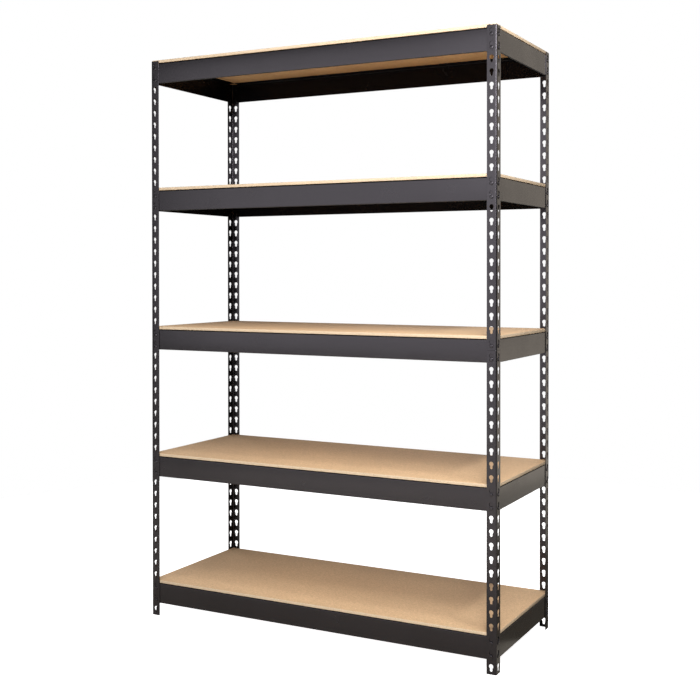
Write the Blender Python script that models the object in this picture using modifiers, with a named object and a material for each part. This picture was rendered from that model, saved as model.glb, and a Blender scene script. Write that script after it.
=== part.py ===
"""Boltless steel shelving: four slotted angle posts, five rivet-hooked beam frames, five boards.

Every post is two half posts, one above the other. Each shelf is two long beams and two
side beams, whose rivets hang in the posts' keyholes, and one board that lies on the
beams' top flanges. Metres, +Z up, front at -Y, origin on the floor at the middle.
"""
import math

import bmesh
import bpy
from mathutils import Matrix, Vector

# Driving dimensions.
INCH = 0.0254
WIDTH = 48 * INCH
DEPTH = 18 * INCH
POST_HEIGHT = 72 * INCH
HOLE_PITCH = 1.5 * INCH
HOLES_PER_HALF = 24
GAP = 0.0003

# Posts: equal angles of folded steel.
POST_STEEL = 0.0015
POST_LEG = 0.030
POST_BEND = 0.0035
POST_BEND_STEPS = 3
HALF_LENGTH = POST_HEIGHT / 2 - GAP

# Keyholes: a round entry over a narrow slot, measured from the corner and the pitch line.
HOLE_FROM_CORNER = 0.016
HOLE_RADIUS = 0.0065
HOLE_CENTRE_UP = 0.0232
SLOT_WIDTH = 0.0076
SLOT_BOTTOM_UP = 0.0084
HOLE_ARC_STEPS = 5

# Beams: a web with a wide top flange and a small bottom lip, both folded inwards.
BEAM_STEEL = 0.001
BEAM_TOP_ABOVE_PITCH = 0.0314
BEAM_BOTTOM_BELOW_PITCH = 0.0354
FLANGE_WIDTH = 0.030
LIP_WIDTH = 0.006
TOP_BEND = 0.004
BOTTOM_BEND = 0.002
BEAM_BEND_STEPS = 2
BEAM_END_CLEARANCE = 0.0033
NOTCH_CLEARANCE = 0.0006
TAB_BELOW_BOARD = 0.0006

# Rivets: the shank hangs in the slot, the head is outside the post.
SHANK_RADIUS = 0.0034
HEAD_RADIUS = 0.0055
HEAD_THICKNESS = 0.0022
RIVET_SIDES = 6
RIVETS_PER_END = 2

# Boards.
BOARD_THICKNESS = 0.009
BOARD_CLEARANCE = 0.0009

# The keyhole that each shelf's upper rivets hang in, counted from the floor.
UPPER_HOLES = (2, 13, 24, 36, 47)

# Worked out from the above.
HALF_WIDTH = WIDTH / 2
HALF_DEPTH = DEPTH / 2
WEB_INSET = POST_STEEL + GAP
RIVET_SEAT_UP = SLOT_BOTTOM_UP + GAP + SHANK_RADIUS
BEAM_HEIGHT = BEAM_TOP_ABOVE_PITCH + BEAM_BOTTOM_BELOW_PITCH
NOTCH_LENGTH = POST_LEG - WEB_INSET + NOTCH_CLEARANCE
TAB_LENGTH = NOTCH_LENGTH - NOTCH_CLEARANCE
CUT_MARGIN = 0.002
PRISM_LENGTH = 4 * POST_STEEL
WELD_DISTANCE = 1e-6
FLAT_ANGLE = 0.2
SMOOTH_ANGLE = 35

# Turns the leg along X into the leg along Y, and a section in XY into one carried along X.
SWAP_X_AND_Y = Matrix(((0, 1, 0, 0), (1, 0, 0, 0), (0, 0, 1, 0), (0, 0, 0, 1)))
SECTION_TO_BEAM = Matrix(((0, 0, 1, 0), (1, 0, 0, 0), (0, 1, 0, 0), (0, 0, 0, 1)))


def clear_scene():
    for old in list(bpy.data.objects):
        bpy.data.objects.remove(old, do_unlink=True)


def new_collection(name):
    collection = bpy.data.collections.new(name)
    bpy.context.scene.collection.children.link(collection)
    return collection


def steel_paint(name, colour, roughness):
    material = bpy.data.materials.new(name)
    material.use_nodes = True
    shader = material.node_tree.nodes["Principled BSDF"]
    shader.inputs["Base Color"].default_value = (*colour, 1.0)
    shader.inputs["Roughness"].default_value = roughness
    shader.inputs["Metallic"].default_value = 0.0
    return material


def new_object(name, data, collection):
    thing = bpy.data.objects.new(name, data)
    collection.objects.link(thing)
    return thing


def baked_mesh(thing, name, flatten=False):
    """The object's evaluated mesh, welded; the object itself is removed.

    Flattening joins faces that lie in one plane, which a long cut face is split into.
    """
    graph = bpy.context.evaluated_depsgraph_get()
    mesh = bpy.data.meshes.new_from_object(thing.evaluated_get(graph))
    mesh.name = name
    shape = bmesh.new()
    shape.from_mesh(mesh)
    bmesh.ops.remove_doubles(shape, verts=shape.verts, dist=WELD_DISTANCE)
    if flatten:
        bmesh.ops.dissolve_limit(shape, angle_limit=math.radians(FLAT_ANGLE), verts=shape.verts,
                                 edges=shape.edges)
    shape.to_mesh(mesh)
    shape.free()
    bpy.data.objects.remove(thing, do_unlink=True)
    return mesh


def curve_mesh(name, points, length, closed):
    """A flat outline carried along Z: a filled prism if closed, else an open ribbon."""
    curve = bpy.data.curves.new(name, "CURVE")
    curve.dimensions = "2D"
    curve.fill_mode = "BOTH" if closed else "NONE"
    curve.extrude = length / 2
    spline = curve.splines.new("POLY")
    spline.points.add(len(points) - 1)
    for point, (x, y) in zip(spline.points, points):
        point.co = (x, y, 0.0, 1.0)
    spline.use_cyclic_u = closed
    thing = new_object(name, curve, bpy.context.scene.collection)
    return baked_mesh(thing, name)


def arc(centre_x, centre_y, radius, start, end, steps):
    points = []
    for step in range(steps + 1):
        angle = math.radians(start + (end - start) * step / steps)
        points.append((centre_x + radius * math.cos(angle), centre_y + radius * math.sin(angle)))
    return points


def keyhole_outline():
    """Seen with the entry hole's centre at the origin and the slot running down."""
    half_slot = SLOT_WIDTH / 2
    neck_angle = math.degrees(math.acos(half_slot / HOLE_RADIUS))
    slot_bottom = SLOT_BOTTOM_UP - HOLE_CENTRE_UP
    entry = arc(0, 0, HOLE_RADIUS, -neck_angle, 180 + neck_angle, HOLE_ARC_STEPS)
    return [(half_slot, slot_bottom), *entry, (-half_slot, slot_bottom)]


def as_cutter(name, mesh, cutters):
    """An object that only cuts or joins, and isn't part of the model."""
    cutter = new_object(name, mesh, cutters)
    cutter.hide_render = True
    cutter.display_type = "WIRE"
    return cutter


def keyhole_cutter(name, prism, turned, cutters):
    """A column of keyhole prisms through one leg of a half post."""
    upright = Matrix.Rotation(math.radians(90), 4, "X")
    offset = Vector((HOLE_FROM_CORNER, 0.0, HOLE_CENTRE_UP))
    mesh = prism.copy()
    mesh.transform(Matrix.Translation(offset) @ upright)
    if turned:
        mesh.transform(SWAP_X_AND_Y)
        mesh.flip_normals()
    cutter = as_cutter(name, mesh, cutters)
    column = cutter.modifiers.new("column", "ARRAY")
    column.count = HOLES_PER_HALF
    column.use_relative_offset = False
    column.use_constant_offset = True
    column.constant_offset_displace = (0.0, 0.0, HOLE_PITCH)
    return cutter


def boolean(thing, operation, other):
    modifier = thing.modifiers.new(operation.lower(), "BOOLEAN")
    modifier.operation = operation
    modifier.object = other
    modifier.solver = "EXACT"


def thicken(thing, thickness):
    """Steel on the inner side of an open surface whose faces point inwards."""
    modifier = thing.modifiers.new("steel", "SOLIDIFY")
    modifier.thickness = thickness
    modifier.offset = 1.0
    modifier.use_even_offset = True


def half_post_mesh(cutters):
    """A slotted angle with its corner on the Z axis, legs along +X and +Y."""
    bend = arc(POST_BEND, POST_BEND, POST_BEND, 180, 270, POST_BEND_STEPS)
    outline = [(0.0, POST_LEG), *bend, (POST_LEG, 0.0)]
    ribbon = curve_mesh("half_post_surface", outline, HALF_LENGTH, closed=False)
    ribbon.transform(Matrix.Translation((0.0, 0.0, HALF_LENGTH / 2)))
    post = new_object("half_post", ribbon, cutters)
    thicken(post, POST_STEEL)
    prism = curve_mesh("keyhole_prism", keyhole_outline(), PRISM_LENGTH, closed=True)
    for name, turned in (("keyholes_x_leg", False), ("keyholes_y_leg", True)):
        boolean(post, "DIFFERENCE", keyhole_cutter(name, prism, turned, cutters))
    return baked_mesh(post, "half_post", flatten=True)


def box(shape, low, high):
    low = Vector(low)
    high = Vector(high)
    size = Matrix.Diagonal((*(high - low), 1.0))
    bmesh.ops.create_cube(shape, size=1.0, matrix=Matrix.Translation((low + high) / 2) @ size)


def notch_cutter(name, length, cutters):
    """Boxes that take the flange, its bend and the lip off both ends, inside the posts."""
    shape = bmesh.new()
    for side in (-1, 1):
        ends = sorted((side * (length / 2 - NOTCH_LENGTH), side * (length / 2 + CUT_MARGIN)))
        flange_low = (ends[0], -CUT_MARGIN, BEAM_HEIGHT - TOP_BEND)
        flange_high = (ends[1], FLANGE_WIDTH + CUT_MARGIN, BEAM_HEIGHT + CUT_MARGIN)
        box(shape, flange_low, flange_high)
        lip_low = (ends[0], BOTTOM_BEND, -CUT_MARGIN)
        lip_high = (ends[1], LIP_WIDTH + CUT_MARGIN, BOTTOM_BEND + CUT_MARGIN)
        box(shape, lip_low, lip_high)
    mesh = bpy.data.meshes.new(name)
    shape.to_mesh(mesh)
    shape.free()
    return as_cutter(name, mesh, cutters)


def rivet_mesh():
    """One rivet on the Y axis: its shank starts inside the web, its head faces -Y."""
    inner_end = BEAM_STEEL / 2
    head_inner = -(GAP + POST_STEEL + GAP)
    head_outer = head_inner - HEAD_THICKNESS
    profile = bmesh.new()
    points = ((0.0, head_outer), (HEAD_RADIUS, head_outer), (HEAD_RADIUS, head_inner),
              (SHANK_RADIUS, head_inner), (SHANK_RADIUS, inner_end), (0.0, inner_end))
    corners = [profile.verts.new((radius, 0.0, -along)) for radius, along in points]
    for start, end in zip(corners, corners[1:]):
        profile.edges.new((start, end))
    mesh = bpy.data.meshes.new("rivet_profile")
    profile.to_mesh(mesh)
    profile.free()
    thing = new_object("rivet_profile", mesh, bpy.context.scene.collection)
    turn = thing.modifiers.new("turn", "SCREW")
    turn.steps = RIVET_SIDES
    turn.render_steps = RIVET_SIDES
    turn.use_merge_vertices = True
    turn.merge_threshold = 0.00001
    turned = baked_mesh(thing, "rivet")
    turned.transform(Matrix.Rotation(math.radians(90), 4, "X"))
    return turned


def end_fittings(name, length, reach, rivet, cutters):
    """Both ends of one beam: a flat tab above the web, and two rivets a hole pitch apart."""
    shape = bmesh.new()
    upper = BEAM_BOTTOM_BELOW_PITCH + RIVET_SEAT_UP
    for side in (-1, 1):
        for step in range(RIVETS_PER_END):
            before = len(shape.verts)
            shape.from_mesh(rivet)
            shape.verts.ensure_lookup_table()
            place = Vector((side * reach, 0.0, upper - step * HOLE_PITCH))
            bmesh.ops.translate(shape, verts=shape.verts[before:], vec=place)
        tab_ends = sorted((side * (length / 2 - TAB_LENGTH), side * length / 2))
        tab_low = (tab_ends[0], 0.0, BEAM_HEIGHT - TOP_BEND - CUT_MARGIN)
        tab_high = (tab_ends[1], BEAM_STEEL, BEAM_HEIGHT - TAB_BELOW_BOARD)
        box(shape, tab_low, tab_high)
    mesh = bpy.data.meshes.new(name)
    shape.to_mesh(mesh)
    shape.free()
    return as_cutter(name, mesh, cutters)


def beam_mesh(name, span, end_setback, rivet, cutters):
    """A beam along X with its web at y = 0, facing -Y, and its bottom at z = 0."""
    length = span - 2 * end_setback
    top_bend = arc(TOP_BEND, BEAM_HEIGHT - TOP_BEND, TOP_BEND, 90, 180, BEAM_BEND_STEPS)
    bottom_bend = arc(BOTTOM_BEND, BOTTOM_BEND, BOTTOM_BEND, 180, 270, BEAM_BEND_STEPS)
    outline = [(FLANGE_WIDTH, BEAM_HEIGHT), *top_bend, *bottom_bend, (LIP_WIDTH, 0.0)]
    ribbon = curve_mesh(name + "_surface", outline, length, closed=False)
    ribbon.transform(SECTION_TO_BEAM)
    beam = new_object(name, ribbon, cutters)
    thicken(beam, BEAM_STEEL)
    boolean(beam, "DIFFERENCE", notch_cutter(name + "_notches", length, cutters))
    reach = span / 2 - (HOLE_FROM_CORNER - WEB_INSET)
    fittings = end_fittings(name + "_fittings", length, reach, rivet, cutters)
    boolean(beam, "UNION", fittings)
    return baked_mesh(beam, name, flatten=True)


def smooth_round_faces(mesh):
    mesh.shade_smooth()
    mesh.set_sharp_from_angle(angle=math.radians(SMOOTH_ANGLE))


def place_posts(parts, mesh):
    """The same angle stands in every corner, turned a quarter each time."""
    corners = (("front_left", -1, -1, 0), ("front_right", 1, -1, 90),
               ("back_right", 1, 1, 180), ("back_left", -1, 1, 270))
    for corner, side_x, side_y, turn in corners:
        for half, low in (("lower", 0.0), ("upper", POST_HEIGHT / 2)):
            post = new_object("post_" + corner + "_" + half, mesh, parts)
            post.location = (side_x * HALF_WIDTH, side_y * HALF_DEPTH, low)
            post.rotation_euler = (0.0, 0.0, math.radians(turn))


def place_shelf(parts, number, upper_hole, long_beam, side_beam, board):
    """One beam frame and its board, under an empty on the shelf's lift axis."""
    pitch_line = upper_hole * HOLE_PITCH
    lift_axis = new_object("shelf_%d_lift_axis" % number, None, parts)
    lift_axis.location = (0.0, 0.0, pitch_line + BEAM_TOP_ABOVE_PITCH)
    web_x = HALF_WIDTH - WEB_INSET
    web_y = HALF_DEPTH - WEB_INSET
    sides = (("front", long_beam, (0.0, -web_y), 0), ("right", side_beam, (web_x, 0.0), 90),
             ("back", long_beam, (0.0, web_y), 180), ("left", side_beam, (-web_x, 0.0), 270))
    for side, mesh, (x, y), turn in sides:
        beam = new_object("shelf_%d_beam_%s" % (number, side), mesh, parts)
        beam.parent = lift_axis
        beam.location = (x, y, -BEAM_HEIGHT)
        beam.rotation_euler = (0.0, 0.0, math.radians(turn))
    deck = new_object("shelf_%d_board" % number, board, parts)
    deck.parent = lift_axis
    deck.location = (0.0, 0.0, GAP)


def board_mesh():
    shape = bmesh.new()
    half_x = HALF_WIDTH - POST_STEEL - BOARD_CLEARANCE
    half_y = HALF_DEPTH - POST_STEEL - BOARD_CLEARANCE
    box(shape, (-half_x, -half_y, 0.0), (half_x, half_y, BOARD_THICKNESS))
    mesh = bpy.data.meshes.new("board")
    shape.to_mesh(mesh)
    shape.free()
    return mesh


def main():
    clear_scene()
    parts = new_collection("boltless_shelving")
    cutters = new_collection("cutters")
    post_paint = steel_paint("post_paint", (0.045, 0.044, 0.047), 0.35)
    beam_paint = steel_paint("beam_paint", (0.050, 0.049, 0.052), 0.35)
    particle_board = steel_paint("particle_board", (0.60, 0.40, 0.23), 0.75)

    half_post = half_post_mesh(cutters)
    rivet = rivet_mesh()
    span_x = WIDTH - 2 * WEB_INSET
    span_y = DEPTH - 2 * WEB_INSET
    long_beam = beam_mesh("long_beam", span_x, BEAM_END_CLEARANCE, rivet, cutters)
    side_beam = beam_mesh("side_beam", span_y, BEAM_END_CLEARANCE, rivet, cutters)
    board = board_mesh()
    for mesh, material in ((half_post, post_paint), (long_beam, beam_paint),
                           (side_beam, beam_paint), (board, particle_board)):
        mesh.materials.append(material)
    for mesh in (half_post, long_beam, side_beam):
        smooth_round_faces(mesh)

    place_posts(parts, half_post)
    for number, upper_hole in enumerate(UPPER_HOLES, start=1):
        place_shelf(parts, number, upper_hole, long_beam, side_beam, board)


main()
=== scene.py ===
"""Looks of the boltless steel shelving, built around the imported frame.

Metres, +Z up, front at -Y. The posts, beams, rivets and boards are remade with smooth
bends, round keyholes and broken edges, in the places that the frame gives them.
"""
import math

import bmesh
import bpy
from mathutils import Matrix, Vector


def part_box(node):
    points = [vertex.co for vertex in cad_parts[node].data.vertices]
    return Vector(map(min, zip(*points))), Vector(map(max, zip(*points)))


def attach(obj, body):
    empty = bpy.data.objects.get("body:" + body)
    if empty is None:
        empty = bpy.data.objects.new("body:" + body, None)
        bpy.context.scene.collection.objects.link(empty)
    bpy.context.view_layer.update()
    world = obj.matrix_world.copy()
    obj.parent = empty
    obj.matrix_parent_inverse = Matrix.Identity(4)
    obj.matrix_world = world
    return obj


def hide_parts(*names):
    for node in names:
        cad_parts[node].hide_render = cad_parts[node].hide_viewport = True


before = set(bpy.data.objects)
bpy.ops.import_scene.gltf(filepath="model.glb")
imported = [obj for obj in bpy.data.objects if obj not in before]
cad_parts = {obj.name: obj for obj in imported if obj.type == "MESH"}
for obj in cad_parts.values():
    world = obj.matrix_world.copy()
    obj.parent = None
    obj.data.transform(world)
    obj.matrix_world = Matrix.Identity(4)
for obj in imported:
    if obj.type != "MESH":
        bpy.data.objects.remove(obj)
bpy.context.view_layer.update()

# Sizes that the frame's boxes don't give: the steel, its folds and its holes.
POST_STEEL = 0.0015
POST_BEND = 0.0035
HOLE_PITCH = 0.0381
HOLE_FROM_CORNER = 0.016
HOLE_RADIUS = 0.0065
HOLE_CENTRE_UP = 0.0232
SLOT_WIDTH = 0.0076
SLOT_BOTTOM_UP = 0.0084
BEAM_BOTTOM_BELOW_PITCH = 0.0354
BEAM_STEEL = 0.001
TOP_BEND = 0.004
BOTTOM_BEND = 0.002
LIP_WIDTH = 0.006
FLANGE_WIDTH = 0.030
NOTCH_CLEARANCE = 0.0006
TAB_BELOW_BOARD = 0.0006
SHANK_RADIUS = 0.0034
HEAD_RADIUS = 0.0055
HEAD_THICKNESS = 0.0022
HEAD_CROWN = 0.0006
HEAD_RIM = 0.0007
HEAD_SOFTENING = 0.0002
TAIL_THICKNESS = 0.0011
TAIL_SPREAD = 0.0012
GAP = 0.0003
EDGE_BREAK = 0.00022
BOARD_EDGE_BREAK = 0.0005
SAME_POINT = 0.00001
SHELVES = 5
SIDES = {"front": 0, "right": 90, "back": 180, "left": 270}
CORNERS = {"front_left": 0, "front_right": 90, "back_right": 180, "back_left": 270}

# How finely round things are divided.
STEPS = 8
BEND_STEPS = STEPS - 2
TURNED_STEPS = 24

# A top bend's last steps down to the web face outwards and keep the web's paint; the steps above
# them and the seat under the board are painted shade.
UNSHADED_BEND_STEPS = 2

# Material slots of the folded steel (paint, worn edges, painted shade), and of the boards (top,
# sawn edge, underside with painted shade).
PAINT_SLOT, EDGE_SLOT, SHADE_SLOT = range(3)
TOP_SLOT, SAWN_SLOT, UNDER_SLOT = range(3)

# A beam's lower rivets above its bottom: they rest in the slots one pitch below the pitch line.
LOW_RIVET_UP = BEAM_BOTTOM_BELOW_PITCH - HOLE_PITCH + SLOT_BOTTOM_UP + GAP + SHANK_RADIUS

PIECES = bpy.data.collections.new("pieces")
STAGE = bpy.data.collections.new("stage")
for group in (PIECES, STAGE):
    bpy.context.scene.collection.children.link(group)


# ---------------------------------------------------------------- materials


class Shader:
    """A material's node tree, with short calls that add and join nodes."""

    def __init__(self, name):
        self.material = bpy.data.materials.new(name)
        self.material.use_nodes = True
        self.tree = self.material.node_tree
        self.surface = self.tree.nodes["Principled BSDF"]

    def node(self, kind, inputs=None, **settings):
        made = self.tree.nodes.new(kind)
        for key, value in settings.items():
            setattr(made, key, value)
        for key, value in (inputs or {}).items():
            self.feed(made.inputs[key], value)
        return made

    def feed(self, socket, value):
        if isinstance(value, bpy.types.NodeSocket):
            self.tree.links.new(value, socket)
        else:
            socket.default_value = value

    def maths(self, operation, first, second):
        made = self.node("ShaderNodeMath", {0: first, 1: second}, operation=operation)
        return made.outputs[0]

    def mix(self, share, first, second, blend="MIX"):
        made = self.node("ShaderNodeMix", data_type="RGBA", blend_type=blend)
        self.feed(made.inputs["Factor"], share)
        self.feed(made.inputs["A"], first)
        self.feed(made.inputs["B"], second)
        return made.outputs["Result"]

    def noise(self, place, scale, detail=2.0, roughness=0.5):
        made = self.node("ShaderNodeTexNoise",
                         {"Vector": place, "Scale": scale, "Detail": detail,
                          "Roughness": roughness})
        return made.outputs["Fac"]

    def spread(self, value, low, high, to_low=0.0, to_high=1.0):
        made = self.node("ShaderNodeMapRange",
                         {"Value": value, "From Min": low, "From Max": high,
                          "To Min": to_low, "To Max": to_high})
        return made.outputs["Result"]

    def place(self, stretch=(1.0, 1.0, 1.0)):
        where = self.node("ShaderNodeTexCoord").outputs["Object"]
        made = self.node("ShaderNodeMapping", {"Vector": where, "Scale": stretch})
        return made.outputs["Vector"]

    def bump(self, height, distance, strength):
        made = self.node("ShaderNodeBump",
                         {"Height": height, "Distance": distance, "Strength": strength})
        self.feed(self.surface.inputs["Normal"], made.outputs["Normal"])

    def set(self, **values):
        for key, value in values.items():
            self.feed(self.surface.inputs[key.replace("_", " ")], value)


def powder_coat(name, colour, worn_share, gloss=0.6):
    """Charcoal powder coat: fine orange peel, a faint cloudiness, and as worn as worn_share."""
    shader = Shader(name)
    rubbed = (0.10, 0.098, 0.095, 1.0)
    here = shader.place()
    peel = shader.noise(here, 1400.0, 2.0)
    cloud = shader.noise(here, 9.0, 3.0)
    rub = shader.noise(here, 160.0, 4.0, 0.65)
    dark = tuple(0.8 * c for c in colour)
    light = tuple(1.25 * c for c in colour)
    toned = shader.mix(shader.spread(cloud, 0.3, 0.7), (*dark, 1.0), (*light, 1.0))
    worn = shader.spread(rub, 0.62 - 0.25 * worn_share, 0.75, 0.0, worn_share)
    shader.set(Base_Color=shader.mix(worn, toned, rubbed))
    shader.set(Roughness=shader.spread(cloud, 0.3, 0.7, 0.22, 0.28))
    shader.set(Specular_IOR_Level=gloss, Specular_Tint=(0.97, 0.89, 1.0, 1.0))
    shader.bump(peel, 0.00002, 0.5)
    return shader.material


def board_face(name, tint):
    """Sanded particle board: pressed chips of many tones, with a few dark flecks."""
    shader = Shader(name)
    deep_chip = (0.56, 0.357, 0.190, 1.0)
    pale_chip = (0.74, 0.492, 0.278, 1.0)
    dark_fleck = (0.30, 0.18, 0.10, 1.0)
    pale_fibre = (0.72, 0.535, 0.35, 1.0)
    dull_cloud = (0.44, 0.29, 0.17, 1.0)
    brown_blotch = (0.42, 0.27, 0.15, 1.0)
    here = shader.place()
    drift = shader.node("ShaderNodeTexNoise", {"Vector": here, "Scale": 240.0, "Detail": 2.0})
    bent = shader.node("ShaderNodeVectorMath",
                       {0: drift.outputs["Color"], 1: (0.004, 0.004, 0.004)},
                       operation="MULTIPLY")
    moved = shader.node("ShaderNodeVectorMath", {0: here, 1: bent.outputs[0]}, operation="ADD")
    chips = shader.node("ShaderNodeTexVoronoi",
                        {"Vector": moved.outputs[0], "Scale": 420.0, "Randomness": 1.0})
    tone = shader.node("ShaderNodeSeparateColor", {"Color": chips.outputs["Color"]})
    fibre = shader.noise(here, 1300.0, 3.0, 0.6)
    cloud = shader.noise(here, 5.0, 3.0)
    blotch = shader.noise(here, 130.0, 4.0, 0.6)
    base = shader.mix(shader.spread(tone.outputs["Red"], 0.0, 1.0), deep_chip, pale_chip)
    fleck = shader.spread(tone.outputs["Green"], 0.93, 0.97, 0.0, 0.55)
    base = shader.mix(fleck, base, dark_fleck)
    base = shader.mix(shader.spread(fibre, 0.35, 0.7, 0.0, 0.35), base, pale_fibre)
    base = shader.mix(shader.spread(cloud, 0.35, 0.65, 0.0, 0.18), base, dull_cloud)
    base = shader.mix(shader.spread(blotch, 0.42, 0.62, 0.0, 0.3), base, brown_blotch)
    # The tint is white for the tops; the undersides' darker, warmer tint is painted shade.
    base = shader.mix(1.0, base, (*tint, 1.0), blend="MULTIPLY")
    shader.set(Base_Color=base)
    shader.set(Roughness=shader.spread(fibre, 0.3, 0.7, 0.58, 0.78))
    height = shader.maths("ADD", chips.outputs["Distance"], fibre)
    shader.bump(height, 0.00008, 0.5)
    return shader.material


def board_edge():
    """The sawn edge: pale chips and fibres pressed flat, with small dark pits."""
    shader = Shader("board_edge")
    deep_chip = (0.47, 0.35, 0.24, 1.0)
    pale_chip = (0.62, 0.49, 0.34, 1.0)
    brown_fibre = (0.45, 0.31, 0.19, 1.0)
    dark_pit = (0.22, 0.13, 0.07, 1.0)
    chips = shader.node("ShaderNodeTexVoronoi",
                        {"Vector": shader.place((1.0, 1.0, 2.4)), "Scale": 520.0})
    tone = shader.node("ShaderNodeSeparateColor", {"Color": chips.outputs["Color"]})
    fibre = shader.noise(shader.place((0.35, 0.35, 1.6)), 1500.0, 3.0, 0.6)
    base = shader.mix(tone.outputs["Red"], deep_chip, pale_chip)
    base = shader.mix(shader.spread(fibre, 0.5, 0.8, 0.0, 0.4), base, brown_fibre)
    pits = shader.spread(tone.outputs["Blue"], 0.94, 0.98, 0.0, 0.6)
    base = shader.mix(pits, base, dark_pit)
    shader.set(Base_Color=base, Roughness=0.85)
    height = shader.maths("SUBTRACT", fibre, shader.maths("MULTIPLY", pits, 2.0))
    shader.bump(height, 0.00015, 0.6)
    return shader.material


# ---------------------------------------------------------------- mesh helpers


def arc(centre, radius, start, end, steps):
    """Points round centre from start to end degrees, both included."""
    points = []
    for step in range(steps + 1):
        angle = math.radians(start + (end - start) * step / steps)
        points.append((centre[0] + radius * math.cos(angle), centre[1] + radius * math.sin(angle)))
    return points


def line(start, end, steps):
    """Points from start to end, both included."""
    return [(start[0] + (end[0] - start[0]) * step / steps,
             start[1] + (end[1] - start[1]) * step / steps) for step in range(steps + 1)]


def joined(*stretches):
    """Stretches that end where the next one starts, as one closed outline."""
    outline = []
    for stretch in stretches:
        outline.extend(stretch[:-1])
    return outline


def new_piece(name, mesh):
    piece = bpy.data.objects.new(name, mesh)
    PIECES.objects.link(piece)
    return piece


def mesh_from(shape, name):
    mesh = bpy.data.meshes.new(name)
    shape.to_mesh(mesh)
    shape.free()
    return mesh


def smooth(mesh, sharp_from):
    """Smooth shading, but for edges of more than sharp_from degrees."""
    mesh.shade_smooth()
    mesh.set_sharp_from_angle(angle=math.radians(sharp_from))


def folded_steel(shape, name, steel, inside_slot=PAINT_SLOT):
    """An open surface, faces outwards, given its steel inwards and broken edges."""
    mesh = mesh_from(shape, name)
    for _ in (PAINT_SLOT, EDGE_SLOT, SHADE_SLOT):
        mesh.materials.append(None)
    thing = bpy.data.objects.new(name, mesh)
    bpy.context.scene.collection.objects.link(thing)
    solid = thing.modifiers.new("steel", "SOLIDIFY")
    solid.thickness = steel
    solid.offset = -1.0
    solid.use_even_offset = True
    solid.material_offset = inside_slot
    edges = thing.modifiers.new("edges", "BEVEL")
    edges.width = EDGE_BREAK
    edges.segments = 1
    edges.limit_method = "ANGLE"
    edges.angle_limit = math.radians(50)
    edges.use_clamp_overlap = True
    edges.material = EDGE_SLOT
    graph = bpy.context.evaluated_depsgraph_get()
    made = bpy.data.meshes.new_from_object(thing.evaluated_get(graph))
    made.name = name
    bpy.data.objects.remove(thing)
    smooth(made, 28)
    return made


def painted_copy(mesh, place, *paints):
    """A copy of folded steel in its place, with its slots' paints."""
    own = mesh.copy()
    for index, paint in enumerate(paints):
        own.materials[index] = paint
    own.transform(place)
    return own


def face_outwards(shape, outward):
    """Turns a consistent open surface so that its first face looks along outward."""
    bmesh.ops.recalc_face_normals(shape, faces=shape.faces)
    shape.faces.ensure_lookup_table()
    shape.normal_update()
    if shape.faces[0].normal.dot(Vector(outward)) < 0:
        bmesh.ops.reverse_faces(shape, faces=shape.faces)


# ---------------------------------------------------------------- posts


def keyhole_outline():
    """Keyhole round its entry's centre, anticlockwise from its upper right."""
    half_slot = SLOT_WIDTH / 2
    neck = math.degrees(math.asin(half_slot / HOLE_RADIUS))
    slot_arc_up = SLOT_BOTTOM_UP - HOLE_CENTRE_UP + half_slot
    neck_up = -HOLE_RADIUS * math.cos(math.radians(neck))
    top = arc((0, 0), HOLE_RADIUS, 45, 135, STEPS)
    left_round = arc((0, 0), HOLE_RADIUS, 135, 270 - neck, BEND_STEPS)
    left_wall = line((-half_slot, neck_up), (-half_slot, slot_arc_up), 2)
    bottom = arc((0, slot_arc_up), half_slot, 180, 360, STEPS)
    right_wall = line((half_slot, slot_arc_up), (half_slot, neck_up), 2)
    right_round = arc((0, 0), HOLE_RADIUS, neck - 90, 45, BEND_STEPS)
    return joined(top, left_round, left_wall, bottom, right_wall, right_round)


def cell_outline(left, right, low, high):
    """The plate round one keyhole, with as many points as the keyhole has."""
    top = line((right, high), (left, high), STEPS)
    side_left = line((left, high), (left, low), STEPS)
    bottom = line((left, low), (right, low), STEPS)
    side_right = line((right, low), (right, high), STEPS)
    return joined(top, side_left, bottom, side_right)


def leg_ring(shape, outline, centre_up, turned):
    """An outline round a keyhole's centre as vertices of the leg along X, or turned, along Y."""
    corners = []
    for along, up in outline:
        along += HOLE_FROM_CORNER
        spot = (0.0, along, up + centre_up) if turned else (along, 0.0, up + centre_up)
        corners.append(shape.verts.new(spot))
    return corners


def half_post_mesh(length, leg):
    """A slotted angle with its corner on the Z axis, legs along +X and +Y."""
    shape = bmesh.new()
    holes = round(length / HOLE_PITCH)
    hole = keyhole_outline()
    for turned in (False, True):
        for number in range(holes):
            centre_up = HOLE_CENTRE_UP + number * HOLE_PITCH
            low = number * HOLE_PITCH - centre_up
            high = min((number + 1) * HOLE_PITCH, length) - centre_up
            cell = cell_outline(POST_BEND - HOLE_FROM_CORNER, leg - HOLE_FROM_CORNER, low, high)
            inner, outer = (leg_ring(shape, ring, centre_up, turned) for ring in (hole, cell))
            for index in range(len(hole)):
                after = (index + 1) % len(hole)
                shape.faces.new((inner[index], inner[after], outer[after], outer[index]))
    bend = arc((POST_BEND, POST_BEND), POST_BEND, 180, 270, BEND_STEPS)
    levels = []
    for number in range(holes):
        low = number * HOLE_PITCH
        high = min(low + HOLE_PITCH, length)
        levels.extend(low + (high - low) * step / STEPS for step in range(STEPS))
    levels.append(length)
    rows = [[shape.verts.new((x, y, z)) for x, y in bend] for z in levels]
    for below, above in zip(rows, rows[1:]):
        for index in range(len(bend) - 1):
            shape.faces.new((below[index], below[index + 1], above[index + 1], above[index]))
    bmesh.ops.remove_doubles(shape, verts=shape.verts, dist=SAME_POINT)
    face_outwards(shape, (0.0, -1.0, 0.0))
    return folded_steel(shape, "half_post", POST_STEEL)


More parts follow.
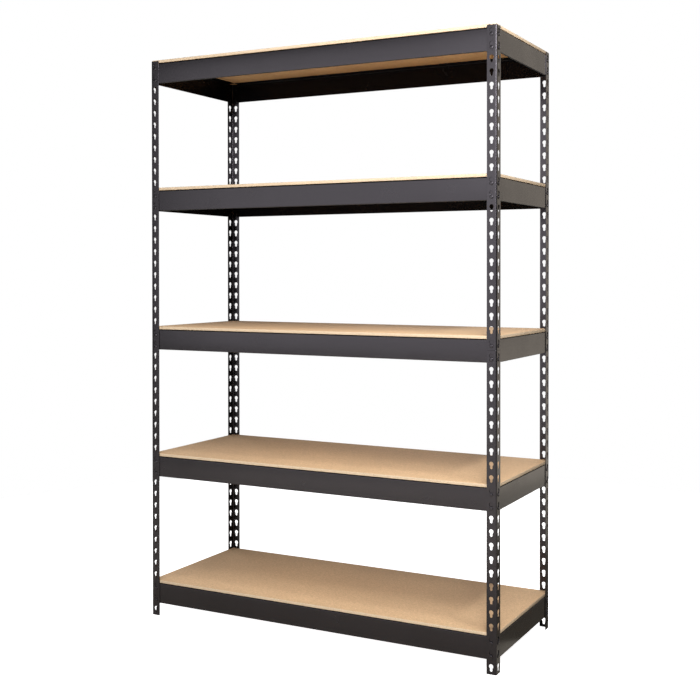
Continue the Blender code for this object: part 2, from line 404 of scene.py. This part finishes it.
def make_posts(paint, edge_paint):
    """One half post, copied to each corner twice, one above the other."""
    low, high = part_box("post_front_left_lower")
    mesh = half_post_mesh(high.z - low.z, high.x - low.x)
    for corner, turn in CORNERS.items():
        for half in ("lower", "upper"):
            node = "post_%s_%s" % (corner, half)
            low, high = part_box(node)
            corner_x = low.x if "left" in corner else high.x
            corner_y = low.y if "front" in corner else high.y
            place = (Matrix.Translation((corner_x, corner_y, low.z))
                     @ Matrix.Rotation(math.radians(turn), 4, "Z"))
            own = painted_copy(mesh, place, paint, edge_paint, paint)
            piece = new_piece("slotted_" + node, own)
            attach(piece, "posts")
            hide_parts(node)


# ---------------------------------------------------------------- beams and rivets


def beam_mesh(name, length, height, notch):
    """A beam along X, web at y = 0 and facing -Y, bottom at z = 0, with flat tabs at its ends.

    Along it come a tab, a narrow relief slit, the full section, a slit and a tab. Under a slit
    and a tab only the web and the bottom bend go on. The seat under the board, the top bend but
    for its last steps, and the inner side take a darker, less glossy copy of the paint: painted
    shade under the board's edge and inside the beam.
    """
    top = arc((TOP_BEND, height - TOP_BEND), TOP_BEND, 90, 180, STEPS)
    bottom = arc((BOTTOM_BEND, BOTTOM_BEND), BOTTOM_BEND, 180, 270, BEND_STEPS)
    section = [(FLANGE_WIDTH, height), *top, *bottom, (LIP_WIDTH, 0.0)]
    web = len(top)
    last_bend = len(section) - 3
    first_shaded = web - UNSHADED_BEND_STEPS
    half = length / 2
    inner = half - notch
    stations = [-half, -inner - NOTCH_CLEARANCE, -inner, inner, inner + NOTCH_CLEARANCE, half]
    kinds = ("tab", "slit", "full", "slit", "tab")
    shape = bmesh.new()
    rows = [[shape.verts.new((x, y, z)) for y, z in section] for x in stations]
    tab_tops = [shape.verts.new((x, 0.0, height - TAB_BELOW_BOARD)) for x in stations]
    for span, kind in enumerate(kinds):
        before, after = rows[span], rows[span + 1]
        for index in range(len(section) - 1):
            if kind == "full" or web <= index <= last_bend:
                face = shape.faces.new((before[index], after[index],
                                        after[index + 1], before[index + 1]))
                # Faces before the bend's last steps take the painted-shade slot.
                face.material_index = SHADE_SLOT if index < first_shaded else PAINT_SLOT
        if kind == "tab":
            shape.faces.new((tab_tops[span], tab_tops[span + 1], after[web], before[web]))
    loose = [vert for vert in shape.verts if not vert.link_faces]
    bmesh.ops.delete(shape, geom=loose, context="VERTS")
    face_outwards(shape, (0.0, -1.0, 0.0))
    # The inner side takes the painted-shade slot too.
    return folded_steel(shape, name, BEAM_STEEL, inside_slot=SHADE_SLOT)


def turned_mesh(name, profile):
    """A profile of (radius, along) points turned about Y, along -Y."""
    shape = bmesh.new()
    rows = []
    for radius, along in profile:
        if radius == 0.0:
            rows.append([shape.verts.new((0.0, along, 0.0))] * TURNED_STEPS)
            continue
        row = []
        for step in range(TURNED_STEPS):
            angle = 2 * math.pi * step / TURNED_STEPS
            row.append(shape.verts.new((radius * math.cos(angle), along,
                                        radius * math.sin(angle))))
        rows.append(row)
    for first, second in zip(rows, rows[1:]):
        for step in range(TURNED_STEPS):
            after = (step + 1) % TURNED_STEPS
            corners = (first[step], first[after], second[after], second[step])
            shape.faces.new(tuple(dict.fromkeys(corners)))
    bmesh.ops.recalc_face_normals(shape, faces=shape.faces)
    mesh = mesh_from(shape, name)
    smooth(mesh, 40)
    return mesh


def rivet_mesh():
    """A low round head outside the post, the shank, and a spread tail inside the web."""
    head_in = -(GAP + POST_STEEL + GAP)
    head_out = head_in - HEAD_THICKNESS
    rim = head_out + HEAD_RIM
    tail = BEAM_STEEL + TAIL_THICKNESS
    dome = [(HEAD_RADIUS * share, head_out + HEAD_CROWN * share ** 2.5)
            for share in (0.0, 0.25, 0.5, 0.7, 0.85)]
    head = [(HEAD_RADIUS - HEAD_SOFTENING, rim), (HEAD_RADIUS, rim + 0.0003),
            (HEAD_RADIUS, head_in - HEAD_SOFTENING), (HEAD_RADIUS - HEAD_SOFTENING, head_in)]
    shank = [(SHANK_RADIUS, head_in), (SHANK_RADIUS, BEAM_STEEL)]
    spread = [(SHANK_RADIUS + TAIL_SPREAD - 0.0001, BEAM_STEEL),
              (SHANK_RADIUS + TAIL_SPREAD, BEAM_STEEL + 0.0004),
              (SHANK_RADIUS + TAIL_SPREAD / 2, tail), (0.0, tail - 0.0002)]
    return turned_mesh("rivet", [*dome, *head, *shank, *spread])


def make_beams(paint, edge_paint, shaded_paint, rivet_paint):
    """Four beams a shelf: each is the long or the side beam, turned to face outwards."""
    low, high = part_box("shelf_1_beam_front")
    side_low, side_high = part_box("shelf_1_beam_right")
    post_low, post_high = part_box("post_front_left_lower")
    leg = post_high.x - post_low.x
    notch = leg - (low.x - post_low.x) + NOTCH_CLEARANCE
    height = high.z - low.z
    long_beam = beam_mesh("long_beam", high.x - low.x, height, notch)
    side_beam = beam_mesh("side_beam", side_high.y - side_low.y, height, notch)
    meshes = {"front": long_beam, "right": side_beam, "back": long_beam, "left": side_beam}
    long_web = high.y - FLANGE_WIDTH
    side_web = post_low.x - post_low.y + long_web
    webs = {"front": long_web, "right": side_web, "back": long_web, "left": side_web}
    long_reach = -post_high.x + leg - HOLE_FROM_CORNER
    side_reach = -post_high.y + leg - HOLE_FROM_CORNER
    reaches = {"front": long_reach, "right": side_reach, "back": long_reach, "left": side_reach}
    rivet = rivet_mesh()
    rivet.materials.append(rivet_paint)
    for number in range(1, SHELVES + 1):
        for side, turn in SIDES.items():
            node = "shelf_%d_beam_%s" % (number, side)
            low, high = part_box(node)
            place = (Matrix.Rotation(math.radians(turn), 4, "Z")
                     @ Matrix.Translation((0.0, webs[side], low.z)))
            own = painted_copy(meshes[side], place, paint, edge_paint, shaded_paint)
            piece = new_piece("folded_" + node, own)
            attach(piece, "shelf_%d_frame" % number)
            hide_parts(node)
            add_rivets(number, side, rivet, place, reaches[side])


def add_rivets(number, side, rivet, place, reach):
    """Four rivets of one beam as one piece; heights follow the pitch under the slots."""
    shape = bmesh.new()
    for end in (-1, 1):
        for step in range(2):
            before = len(shape.verts)
            shape.from_mesh(rivet)
            shape.verts.ensure_lookup_table()
            spot = Vector((end * reach, 0.0, LOW_RIVET_UP + step * HOLE_PITCH))
            bmesh.ops.translate(shape, verts=shape.verts[before:], vec=spot)
    mesh = mesh_from(shape, "rivets")
    mesh.materials.append(rivet.materials[0])
    mesh.transform(place)
    piece = new_piece("shelf_%d_rivets_%s" % (number, side), mesh)
    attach(piece, "shelf_%d_frame" % number)


# ---------------------------------------------------------------- boards


def make_boards(face, edge, under):
    """A plain slab for each board's box, with barely broken edges."""
    for number in range(1, SHELVES + 1):
        node = "shelf_%d_board" % number
        low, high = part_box(node)
        shape = bmesh.new()
        size = Matrix.Diagonal((*(high - low), 1.0))
        bmesh.ops.create_cube(shape, size=1.0, matrix=Matrix.Translation((low + high) / 2) @ size)
        bmesh.ops.bevel(shape, geom=shape.edges, offset=BOARD_EDGE_BREAK, segments=2,
                        profile=0.5, affect="EDGES")
        shape.normal_update()
        for part in shape.faces:
            if abs(part.normal.z) <= 0.7:
                part.material_index = SAWN_SLOT
            else:
                part.material_index = TOP_SLOT if part.normal.z > 0 else UNDER_SLOT
        mesh = mesh_from(shape, node)
        for material in (face, edge, under):
            mesh.materials.append(material)
        smooth(mesh, 50)
        piece = new_piece("particle_" + node, mesh)
        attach(piece, "shelf_%d_deck" % number)
        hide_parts(node)


# ---------------------------------------------------------------- stage, light, camera


def add_camera():
    """The photograph's viewpoint: nearly level, from the front right, above half height."""
    data = bpy.data.cameras.new("camera")
    data.sensor_width = 36.0
    data.lens = 55.14
    data.shift_x = -0.0738
    data.shift_y = -0.0974
    data.clip_end = 60.0
    camera = bpy.data.objects.new("camera", data)
    camera.location = (1.7045, -3.0373, 1.1358)
    camera.rotation_euler = (math.radians(90) - 0.0095, 0.0, 0.4601)
    STAGE.objects.link(camera)
    bpy.context.scene.camera = camera


def add_light(name, size, location, target, radiance, colour=(1.0, 1.0, 1.0)):
    """A soft box, as bright as radiance says from wherever it is seen."""
    data = bpy.data.lights.new(name, "AREA")
    data.shape = "RECTANGLE"
    data.size = size[0]
    data.size_y = size[1]
    data.energy = math.pi * size[0] * size[1] * radiance
    data.color = colour
    light = bpy.data.objects.new(name, data)
    light.location = location
    aim = Vector(target) - Vector(location)
    light.rotation_euler = aim.to_track_quat("-Z", "Y").to_euler()
    light.visible_camera = False
    STAGE.objects.link(light)


def add_lights():
    """The key is on the front right. The front boxes are what the front faces mirror."""
    middle = (0.0, 0.0, 1.0)
    add_light("key_right", (1.8, 1.2), (1.7, -3.5, 2.45), middle, 20.0)
    add_light("upper_right", (0.6, 0.6), (1.3, -1.2, 2.3), middle, 18.0)
    add_light("overhead", (0.5, 0.3), (2.0, -0.9, 3.4), (0.4, -0.1, 1.0), 72.0)
    add_light("front_left_box", (2.4, 2.5), (-2.1, -3.6, 1.5), (-2.1, 0.0, 1.5), 1.65)
    add_light("front_high_box", (1.7, 1.5), (-0.05, -3.6, 2.1), (-0.05, 0.0, 2.1), 2.5)
    add_light("front_low_box", (1.7, 1.2), (-0.05, -3.6, 0.75), (-0.05, 0.0, 0.75), 1.5)
    add_light("warm_back_right", (0.95, 3.0), (1.62, 2.4, 1.5), (0.9, 0.0, 1.5), 1.05,
              (0.85, 0.76, 0.63))
    add_light("left_fill", (3.0, 3.0), (-5.0, 1.5, 2.0), middle, 2.0)
    add_light("back_fill", (3.0, 1.5), (-0.7, 4.5, 3.2), (0.0, 0.0, 0.9), 2.2)


def stage_piece(name, mesh, shader, camera_only):
    """A stage surface that either only the camera sees or everything but the camera."""
    mesh.materials.append(shader.material)
    thing = bpy.data.objects.new(name, mesh)
    thing.visible_camera = camera_only
    thing.visible_diffuse = not camera_only
    thing.visible_glossy = not camera_only
    thing.visible_transmission = False
    thing.visible_shadow = False
    STAGE.objects.link(thing)


def floor_disc(name, radius, centre, colour, glow=0.0, camera_only=False):
    shape = bmesh.new()
    bmesh.ops.create_circle(shape, cap_ends=True, radius=radius, segments=64,
                            matrix=Matrix.Translation(centre))
    mesh = mesh_from(shape, name)
    shader = Shader(name)
    shader.set(Base_Color=(*colour, 1.0), Roughness=0.9)
    shader.set(Emission_Color=(*colour, 1.0), Emission_Strength=glow)
    stage_piece(name, mesh, shader, camera_only)


def add_floors():
    """The white floor that the camera sees, and what throws light back in its place.

    That is a wide pale floor, a disc in front that glows to stand in for a lit pool of floor,
    and darker discs that paint the shade near the feet and to the right of them.
    """
    pale = (0.86, 0.82, 0.72)
    floor_disc("floor", 2.6, (0.0, 0.0, -0.0005), (0.98, 0.98, 0.98), glow=1.05,
               camera_only=True)
    floor_disc("floor_wide", 12.0, (0.0, 0.0, -0.004), pale)
    # Glows, in place of the brightly lit floor in front.
    floor_disc("floor_glow_front", 1.0, (-1.0, -2.6, -0.003), pale, glow=0.55)
    # Painted shade near the feet, and darker painted shade to the right of them.
    floor_disc("floor_painted_shade_near", 1.1, (0.0, 0.0, -0.002), (0.50, 0.46, 0.38))
    floor_disc("floor_painted_shade_right", 0.7, (1.15, 0.55, -0.001), (0.14, 0.12, 0.09))


def add_backdrop():
    """A white dome all round, for the camera only."""
    shape = bmesh.new()
    bmesh.ops.create_uvsphere(shape, u_segments=32, v_segments=16, radius=20.0)
    mesh = mesh_from(shape, "backdrop")
    white = Shader("backdrop_white")
    white.set(Base_Color=(0.0, 0.0, 0.0, 1.0), Roughness=1.0, Specular_IOR_Level=0.0)
    white.set(Emission_Color=(1.0, 1.0, 1.0, 1.0), Emission_Strength=1.0)
    stage_piece("backdrop", mesh, white, camera_only=True)


def add_world():
    world = bpy.data.worlds.new("studio")
    world.use_nodes = True
    bpy.context.scene.world = world
    background = world.node_tree.nodes["Background"]
    background.inputs["Color"].default_value = (1.0, 1.0, 1.0, 1.0)
    background.inputs["Strength"].default_value = 0.04


def main():
    bpy.context.scene.view_settings.view_transform = "Standard"
    add_camera()
    add_world()
    add_lights()
    add_backdrop()
    add_floors()
    paint = powder_coat("charcoal_paint", (0.0038, 0.0035, 0.004), 0.0)
    edge_paint = powder_coat("charcoal_paint_edge", (0.006, 0.0055, 0.0062), 0.3)
    # Painted shade: a darker, less glossy copy of the paint, for the beams' insides and the seat
    # and top bend under the boards.
    shaded_paint = powder_coat("charcoal_paint_painted_shade", (0.003, 0.0028, 0.003), 0.0, 0.12)
    rivet_paint = powder_coat("charcoal_paint_rivet", (0.0038, 0.0035, 0.004), 0.1)
    make_posts(paint, edge_paint)
    make_beams(paint, edge_paint, shaded_paint, rivet_paint)
    # The undersides are a darker, warmer copy of the top's material: painted shade.
    make_boards(board_face("board_face", (1.0, 1.0, 1.0)), board_edge(),
                board_face("board_under_painted_shade", (1.0, 0.9, 0.75)))


main()
